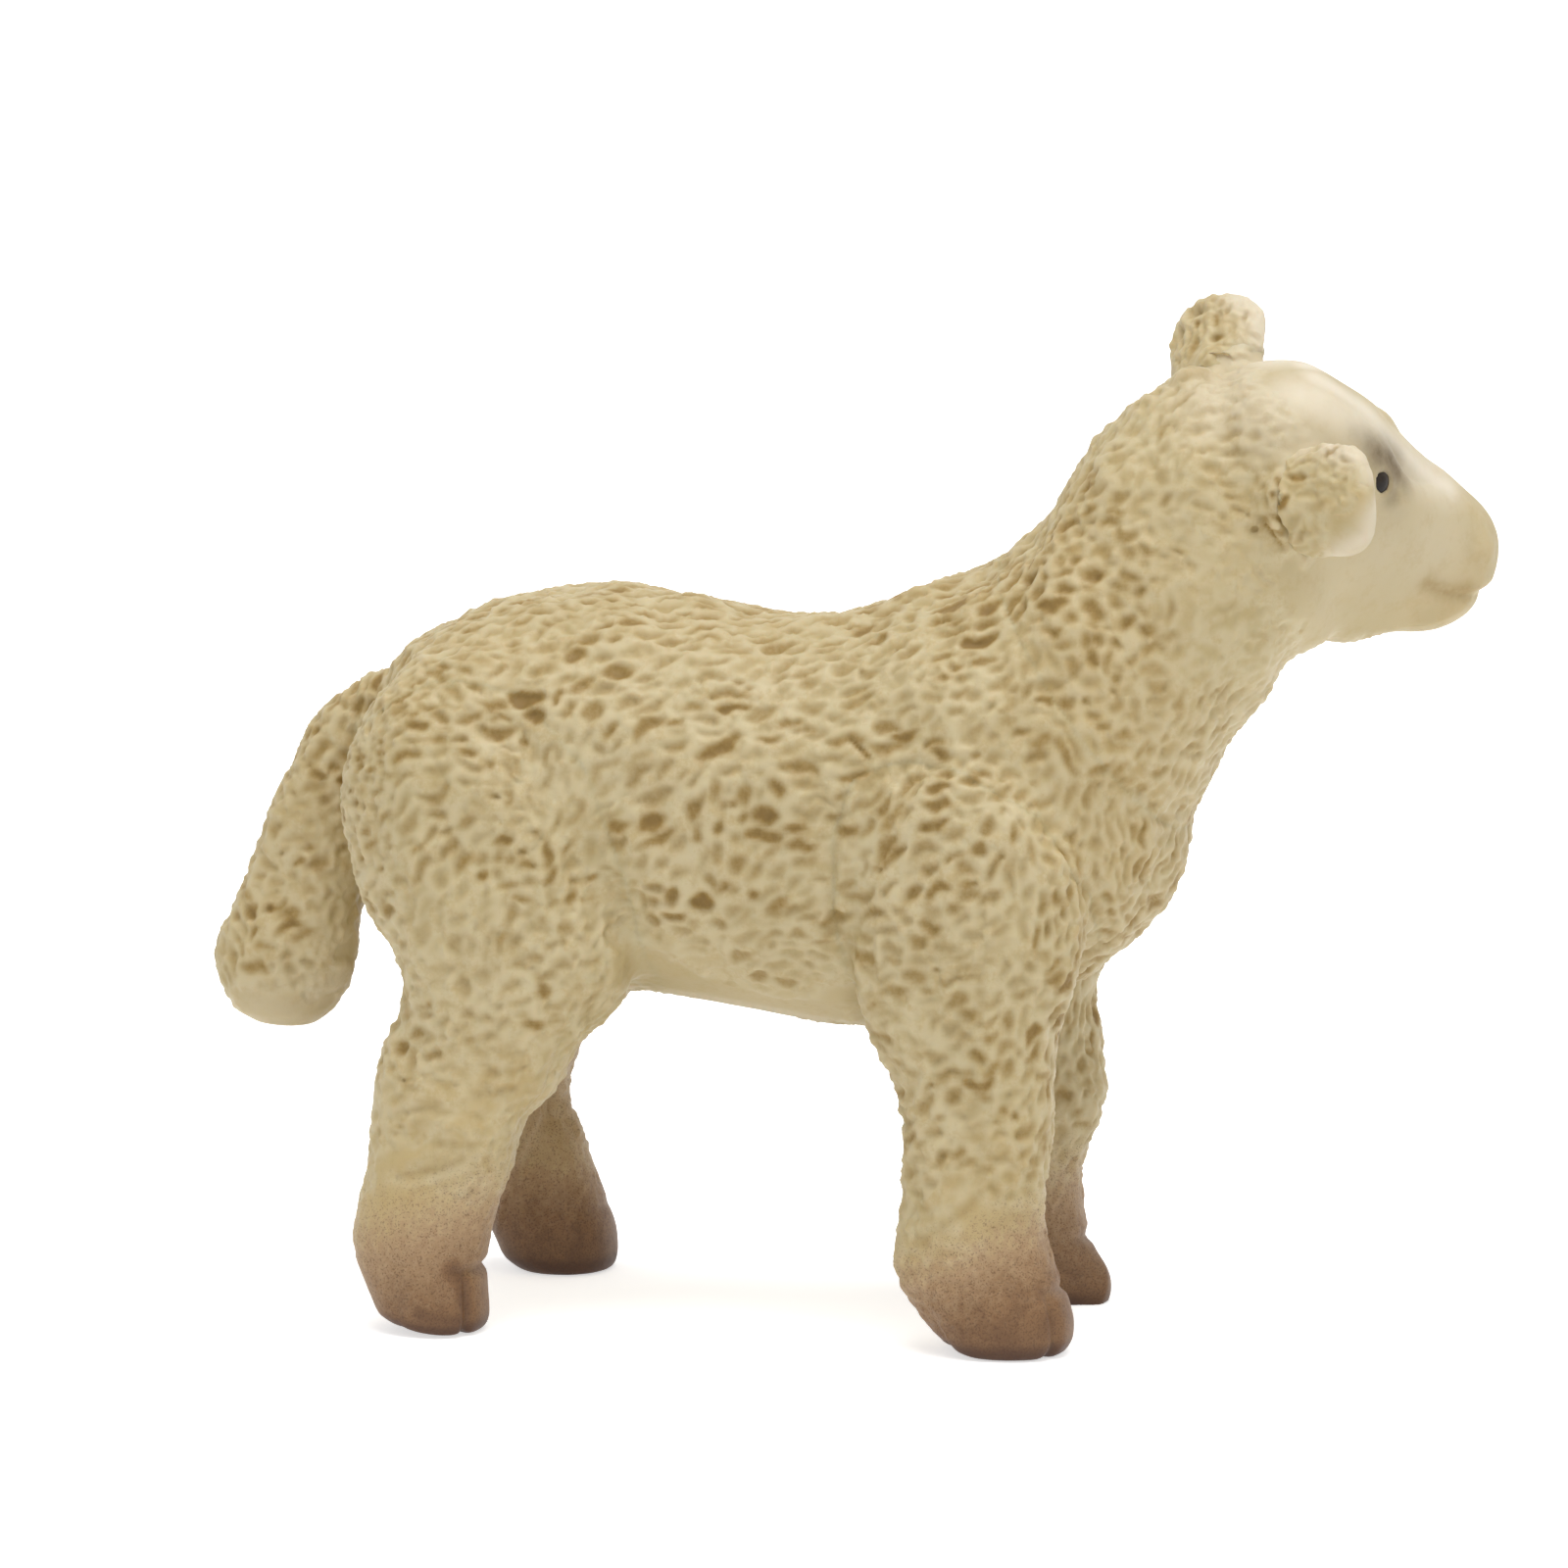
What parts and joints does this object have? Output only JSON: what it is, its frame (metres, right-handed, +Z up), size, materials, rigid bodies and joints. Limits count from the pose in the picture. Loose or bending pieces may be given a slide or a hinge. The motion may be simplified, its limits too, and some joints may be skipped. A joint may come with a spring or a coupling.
{
  "type": "toy lamb figure",
  "caption": "Small moulded lamb figure that stands on its hooves, with a pitted fleece, turned head, rounded ears and a hanging tail, for pretend play.",
  "frame": {"origin": "on the ground plane, under the middle of the figure's bounding box", "axes": "+X from the tail to the head, +Y to the left side of the lamb, +Z up"},
  "size_m": [0.049, 0.0184, 0.0392],
  "materials": {
    "fleece": "cream soft plastic with an ochre stain in the pits of the fleece",
    "head": "cream soft plastic with a pale forehead and grey round the eyes",
    "ear": "cream soft plastic with a pale rim and an ochre stain on the back",
    "leg": "cream soft plastic that darkens to sprayed brown at the hoof",
    "eye": "black gloss lacquer"
  },
  "bodies": {
    "root": {"torso": "fleece", "head": "head", "ear_right": "ear", "ear_left": "ear", "eye_right": "eye", "eye_left": "eye", "tail": "fleece", "leg_front_right": "leg", "leg_front_left": "leg", "leg_hind_right": "leg", "leg_hind_left": "leg"}
  },
  "joints": []
}
